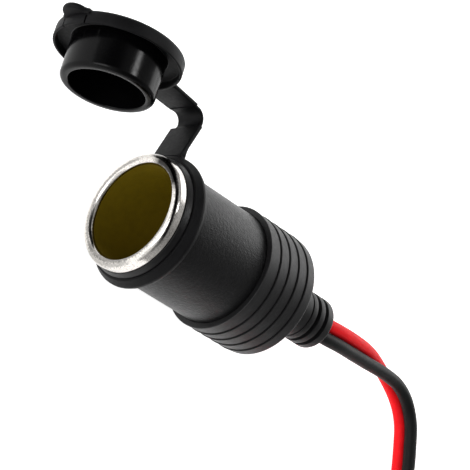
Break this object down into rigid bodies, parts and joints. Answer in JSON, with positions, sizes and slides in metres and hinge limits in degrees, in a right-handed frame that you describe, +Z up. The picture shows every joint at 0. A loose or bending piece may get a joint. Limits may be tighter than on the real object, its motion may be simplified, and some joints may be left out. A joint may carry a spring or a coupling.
{
  "type": "car 12v power socket",
  "caption": "In-line female 12 V car power socket with a rolled metal lip, ribbed rear boot, tethered rubber cap and a bonded pair of leads.",
  "frame": {"origin": "on the bore axis, where the straight wall of the bore begins at the lip", "axes": "+Y along the bore towards the leads, mouth towards -Y; +Z up as the socket lies on a surface; the cap stands open on the -X side"},
  "size_m": [0.1002, 0.1537, 0.03],
  "materials": {
    "moulded_black": "matte",
    "soft_black": "satin",
    "tether_rubber": "satin",
    "plated_steel": "polished",
    "phenolic_board": "matte",
    "white_insulator": "matte",
    "brass": "satin",
    "tinned_metal": "satin",
    "zinc_steel": "satin",
    "red_insulation": "satin",
    "black_insulation": "satin",
    "tie_plastic": "satin"
  },
  "bodies": {
    "socket": {"housing": "moulded_black", "rear_boot": "soft_black", "socket_shell": "plated_steel", "front_insulator": "phenolic_board", "contact_stud": "brass", "rear_insulator": "white_insulator", "positive_terminal": "tinned_metal", "lock_washer": "zinc_steel", "hex_nut": "zinc_steel", "negative_terminal": "tinned_metal", "negative_rivet": "brass", "tether_collar": "tether_rubber", "red_lead": "red_insulation", "black_lead": "black_insulation", "red_coil": "red_insulation", "black_coil": "black_insulation", "red_tail": "red_insulation", "black_tail": "black_insulation", "red_tip": "tinned_metal", "black_tip": "tinned_metal", "coil_tie": "tie_plastic"},
    "strap": {"tether_strap": "tether_rubber"},
    "cap": {"cap": "tether_rubber"}
  },
  "joints": [
    {"name": "cap_hinge", "type": "hinge", "parent": "socket", "child": "strap", "pos_m": [-0.01718, 0.00089, 0], "axis": [0, 0, 1], "range_deg": [-30, 92.3], "stiffness_Nm_per_rad": 0.003, "deforming": ["tether_strap"]},
    {"name": "cap_press", "type": "slide", "parent": "strap", "child": "cap", "axis": [0.9992, -0.0401, 0], "range_m": [0, 0.009], "stiffness_N_per_m": 20, "deforming": ["tether_strap"]}
  ]
}
